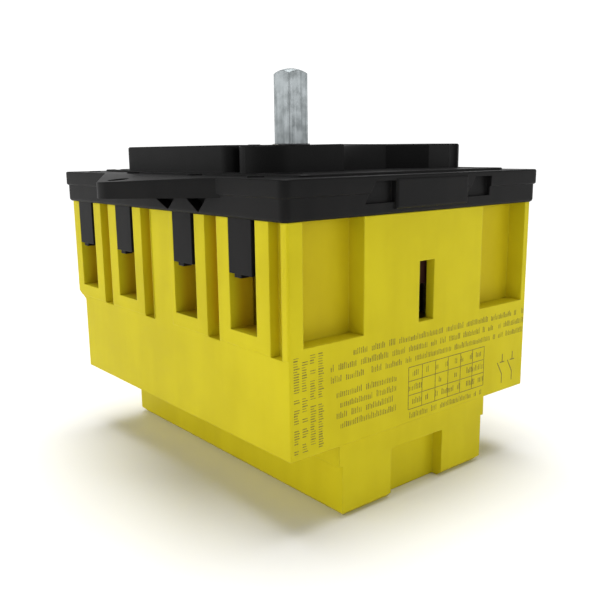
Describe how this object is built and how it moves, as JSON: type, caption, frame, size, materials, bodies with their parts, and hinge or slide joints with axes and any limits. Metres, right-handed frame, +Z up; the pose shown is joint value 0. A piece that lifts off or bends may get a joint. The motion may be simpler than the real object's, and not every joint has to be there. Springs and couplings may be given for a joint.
{
  "type": "rotary isolator switch",
  "caption": "Compact panel isolator: yellow body with wire entries on two faces, black cover with fixing ears, and a square shaft that slides the contacts when turned.",
  "frame": {"origin": "on the bottom face of the base, under the axis of the square shaft", "axes": "+Z up along the shaft, +X across the poles towards the face with the end slot, line terminals on -Y, load terminals on +Y"},
  "size_m": [0.0941, 0.1022, 0.0931],
  "materials": {
    "yellow_plastic": "moulded polyamide, fine satin",
    "black_plastic": "moulded polyamide, satin",
    "grey_plastic": "moulded, smooth",
    "brown_plastic": "moulded phenolic, smooth",
    "zinc_plated_steel": "bright zinc plate",
    "plated_screw": "zinc plate",
    "mild_steel": "pressed plate",
    "spring_steel": "bright drawn",
    "copper": "bare copper",
    "silver": "silver contact facing",
    "seal_rubber": "nitrile"
  },
  "bodies": {
    "body": {"housing": "yellow_plastic", "base": "yellow_plastic", "cover": "black_plastic", "base_screws": "plated_screw", "fixed_contact_tips": "silver", "detent_spring_front": "spring_steel", "detent_spring_rear": "spring_steel", "arc_chute_1": "mild_steel", "fixed_contact_line_1": "copper", "fixed_contact_load_1": "copper", "arc_chute_2": "mild_steel", "fixed_contact_line_2": "copper", "fixed_contact_load_2": "copper", "arc_chute_3": "mild_steel", "fixed_contact_line_3": "copper", "fixed_contact_load_3": "copper", "arc_chute_4": "mild_steel", "fixed_contact_line_4": "copper", "fixed_contact_load_4": "copper"},
    "drive": {"rotor": "grey_plastic", "shaft": "zinc_plated_steel", "shaft_seal": "seal_rubber"},
    "slider": {"carriage": "brown_plastic", "moving_contact_tips": "silver", "moving_contact_1": "copper", "contact_spring_1": "spring_steel", "moving_contact_2": "copper", "contact_spring_2": "spring_steel", "moving_contact_3": "copper", "contact_spring_3": "spring_steel", "moving_contact_4": "copper", "contact_spring_4": "spring_steel"},
    "screw_line_1": {"terminal_screw_line_1": "plated_screw"},
    "cage_line_1": {"terminal_cage_line_1": "zinc_plated_steel"},
    "screw_load_1": {"terminal_screw_load_1": "plated_screw"},
    "cage_load_1": {"terminal_cage_load_1": "zinc_plated_steel"},
    "screw_line_2": {"terminal_screw_line_2": "plated_screw"},
    "cage_line_2": {"terminal_cage_line_2": "zinc_plated_steel"},
    "screw_load_2": {"terminal_screw_load_2": "plated_screw"},
    "cage_load_2": {"terminal_cage_load_2": "zinc_plated_steel"},
    "screw_line_3": {"terminal_screw_line_3": "plated_screw"},
    "cage_line_3": {"terminal_cage_line_3": "zinc_plated_steel"},
    "screw_load_3": {"terminal_screw_load_3": "plated_screw"},
    "cage_load_3": {"terminal_cage_load_3": "zinc_plated_steel"},
    "screw_line_4": {"terminal_screw_line_4": "plated_screw"},
    "cage_line_4": {"terminal_cage_line_4": "zinc_plated_steel"},
    "screw_load_4": {"terminal_screw_load_4": "plated_screw"},
    "cage_load_4": {"terminal_cage_load_4": "zinc_plated_steel"}
  },
  "joints": [
    {"name": "shaft_turn", "type": "hinge", "parent": "body", "child": "drive", "pos_m": [0, 0, 0.07], "axis": [0, 0, -1], "range_deg": [0, 90]},
    {"name": "carriage_slide", "type": "slide", "parent": "body", "child": "slider", "axis": [-1, 0, 0], "range_m": [0, 0.00942], "deforming": ["detent_spring_front", "detent_spring_rear"]},
    {"name": "screw_turn_line_1", "type": "hinge", "parent": "body", "child": "screw_line_1", "pos_m": [-0.03795, -0.0265, 0.055], "axis": [0, 0, -1], "range_deg": [0, 2520]},
    {"name": "cage_lift_line_1", "type": "slide", "parent": "body", "child": "cage_line_1", "axis": [0, 0, 1], "range_m": [0, 0.0056]},
    {"name": "screw_turn_load_1", "type": "hinge", "parent": "body", "child": "screw_load_1", "pos_m": [-0.03795, 0.0265, 0.055], "axis": [0, 0, -1], "range_deg": [0, 2520]},
    {"name": "cage_lift_load_1", "type": "slide", "parent": "body", "child": "cage_load_1", "axis": [0, 0, 1], "range_m": [0, 0.0056]},
    {"name": "screw_turn_line_2", "type": "hinge", "parent": "body", "child": "screw_line_2", "pos_m": [-0.01675, -0.0265, 0.055], "axis": [0, 0, -1], "range_deg": [0, 2520]},
    {"name": "cage_lift_line_2", "type": "slide", "parent": "body", "child": "cage_line_2", "axis": [0, 0, 1], "range_m": [0, 0.0056]},
    {"name": "screw_turn_load_2", "type": "hinge", "parent": "body", "child": "screw_load_2", "pos_m": [-0.01675, 0.0265, 0.055], "axis": [0, 0, -1], "range_deg": [0, 2520]},
    {"name": "cage_lift_load_2", "type": "slide", "parent": "body", "child": "cage_load_2", "axis": [0, 0, 1], "range_m": [0, 0.0056]},
    {"name": "screw_turn_line_3", "type": "hinge", "parent": "body", "child": "screw_line_3", "pos_m": [0.01035, -0.0265, 0.055], "axis": [0, 0, -1], "range_deg": [0, 2520]},
    {"name": "cage_lift_line_3", "type": "slide", "parent": "body", "child": "cage_line_3", "axis": [0, 0, 1], "range_m": [0, 0.0056]},
    {"name": "screw_turn_load_3", "type": "hinge", "parent": "body", "child": "screw_load_3", "pos_m": [0.01035, 0.0265, 0.055], "axis": [0, 0, -1], "range_deg": [0, 2520]},
    {"name": "cage_lift_load_3", "type": "slide", "parent": "body", "child": "cage_load_3", "axis": [0, 0, 1], "range_m": [0, 0.0056]},
    {"name": "screw_turn_line_4", "type": "hinge", "parent": "body", "child": "screw_line_4", "pos_m": [0.03155, -0.0265, 0.055], "axis": [0, 0, -1], "range_deg": [0, 2520]},
    {"name": "cage_lift_line_4", "type": "slide", "parent": "body", "child": "cage_line_4", "axis": [0, 0, 1], "range_m": [0, 0.0056]},
    {"name": "screw_turn_load_4", "type": "hinge", "parent": "body", "child": "screw_load_4", "pos_m": [0.03155, 0.0265, 0.055], "axis": [0, 0, -1], "range_deg": [0, 2520]},
    {"name": "cage_lift_load_4", "type": "slide", "parent": "body", "child": "cage_load_4", "axis": [0, 0, 1], "range_m": [0, 0.0056]}
  ],
  "couplings": [
    {"joint": "shaft_turn", "follows": "carriage_slide", "rad_per_m": 166.67},
    {"joint": "screw_turn_line_1", "follows": "cage_lift_line_1", "rad_per_m": 7854},
    {"joint": "screw_turn_load_1", "follows": "cage_lift_load_1", "rad_per_m": 7854},
    {"joint": "screw_turn_line_2", "follows": "cage_lift_line_2", "rad_per_m": 7854},
    {"joint": "screw_turn_load_2", "follows": "cage_lift_load_2", "rad_per_m": 7854},
    {"joint": "screw_turn_line_3", "follows": "cage_lift_line_3", "rad_per_m": 7854},
    {"joint": "screw_turn_load_3", "follows": "cage_lift_load_3", "rad_per_m": 7854},
    {"joint": "screw_turn_line_4", "follows": "cage_lift_line_4", "rad_per_m": 7854},
    {"joint": "screw_turn_load_4", "follows": "cage_lift_load_4", "rad_per_m": 7854}
  ]
}
